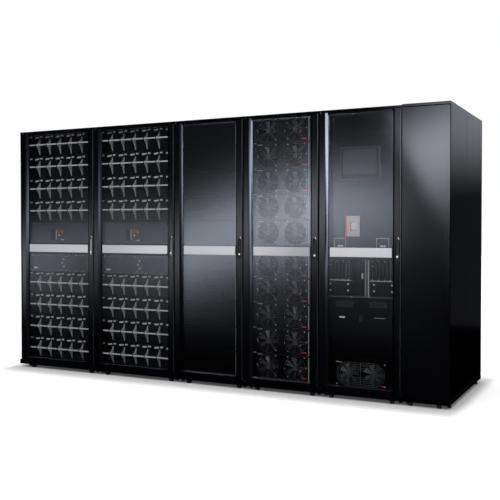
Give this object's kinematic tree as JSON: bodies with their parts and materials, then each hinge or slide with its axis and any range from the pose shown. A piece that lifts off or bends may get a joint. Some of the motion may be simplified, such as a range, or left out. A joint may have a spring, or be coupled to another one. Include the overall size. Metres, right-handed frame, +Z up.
{
  "type": "modular ups cabinet row",
  "caption": "Row of joined black power cabinets with hinged see-through doors over battery modules, fan-cooled power modules and a controller bay, on castors and levelling feet.",
  "frame": {"origin": "middle of the footprint, on the floor", "axes": "+X along the row from the battery cabinets to the narrow end cabinet, -Y out of the doors, +Z up"},
  "size_m": [3.63, 1.07, 1.991],
  "materials": {
    "powder_black": "satin",
    "panel_black": "satin",
    "frame_black": "satin",
    "pane": "gloss",
    "band_silver": "brushed",
    "steel_grey": "brushed",
    "moulded_black": "matte",
    "moulded_grey": "matte",
    "screen": "gloss",
    "tread": "matte",
    "zinc": "satin"
  },
  "bodies": {
    "cabinet_row": {"access_covers": "panel_black", "base_plates": "frame_black", "battery_bars": "steel_grey", "battery_breakers": "moulded_black", "battery_fins": "moulded_grey", "battery_modules": "moulded_black", "battery_shelves": "frame_black", "bay_divider": "steel_grey", "bay_tray": "steel_grey", "breaker_knobs": "moulded_grey", "breaker_panels": "panel_black", "breaker_toggle": "moulded_grey", "card_cages": "steel_grey", "castor_forks": "zinc", "castor_wheels": "tread", "control_panel": "panel_black", "corner_trims": "powder_black", "display_bezel": "moulded_black", "display_screen": "screen", "drawer_fan_rotors": "panel_black", "end_panel": "powder_black", "fan_drawer": "panel_black", "filler_plates": "panel_black", "front_posts": "frame_black", "hinge_pins": "zinc", "interface_cards": "steel_grey", "levelling_feet": "zinc", "lower_panel": "panel_black", "main_breaker": "moulded_grey", "module_fan_rotors": "moulded_black", "plinth_end_rails": "powder_black", "plinth_skirts": "powder_black", "power_modules": "panel_black", "rear_panels": "powder_black", "rear_posts": "frame_black", "roof_panels": "powder_black", "side_panels": "powder_black", "switch_bay": "panel_black", "vent_panels": "panel_black"},
    "door_1": {"door_1_band": "band_silver", "door_1_frame": "powder_black", "door_1_pane": "pane"},
    "lever_1": {"door_1_lever": "moulded_black"},
    "door_2": {"door_2_band": "band_silver", "door_2_frame": "powder_black", "door_2_pane": "pane"},
    "lever_2": {"door_2_lever": "moulded_black"},
    "door_3": {"door_3_band": "band_silver", "door_3_frame": "powder_black", "door_3_pane": "pane"},
    "lever_3": {"door_3_lever": "moulded_black"},
    "door_4": {"door_4_band": "band_silver", "door_4_frame": "powder_black", "door_4_pane": "pane"},
    "lever_4": {"door_4_lever": "moulded_black"},
    "door_5": {"door_5_band": "band_silver", "door_5_frame": "powder_black", "door_5_pane": "pane"},
    "lever_5": {"door_5_lever": "moulded_black"}
  },
  "joints": [
    {"name": "door_1_hinge", "type": "hinge", "parent": "cabinet_row", "child": "door_1", "pos_m": [-1.781, -0.522, 1], "axis": [0, 0, -1], "range_deg": [0, 110]},
    {"name": "door_1_lever_pull", "type": "hinge", "parent": "door_1", "child": "lever_1", "pos_m": [-1.0605, -0.525, 0.966], "axis": [1, 0, 0], "range_deg": [0, 35]},
    {"name": "door_2_hinge", "type": "hinge", "parent": "cabinet_row", "child": "door_2", "pos_m": [-1.022, -0.522, 1], "axis": [0, 0, -1], "range_deg": [0, 110]},
    {"name": "door_2_lever_pull", "type": "hinge", "parent": "door_2", "child": "lever_2", "pos_m": [-0.2985, -0.525, 0.966], "axis": [1, 0, 0], "range_deg": [0, 35]},
    {"name": "door_3_hinge", "type": "hinge", "parent": "cabinet_row", "child": "door_3", "pos_m": [-0.26, -0.522, 1], "axis": [0, 0, -1], "range_deg": [0, 110]},
    {"name": "door_3_lever_pull", "type": "hinge", "parent": "door_3", "child": "lever_3", "pos_m": [0.2905, -0.525, 0.966], "axis": [1, 0, 0], "range_deg": [0, 35]},
    {"name": "door_4_hinge", "type": "hinge", "parent": "cabinet_row", "child": "door_4", "pos_m": [0.329, -0.522, 1], "axis": [0, 0, -1], "range_deg": [0, 110]},
    {"name": "door_4_lever_pull", "type": "hinge", "parent": "door_4", "child": "lever_4", "pos_m": [0.8795, -0.525, 0.966], "axis": [1, 0, 0], "range_deg": [0, 35]},
    {"name": "door_5_hinge", "type": "hinge", "parent": "cabinet_row", "child": "door_5", "pos_m": [0.918, -0.522, 1], "axis": [0, 0, -1], "range_deg": [0, 110]},
    {"name": "door_5_lever_pull", "type": "hinge", "parent": "door_5", "child": "lever_5", "pos_m": [1.4685, -0.525, 0.966], "axis": [1, 0, 0], "range_deg": [0, 35]}
  ]
}
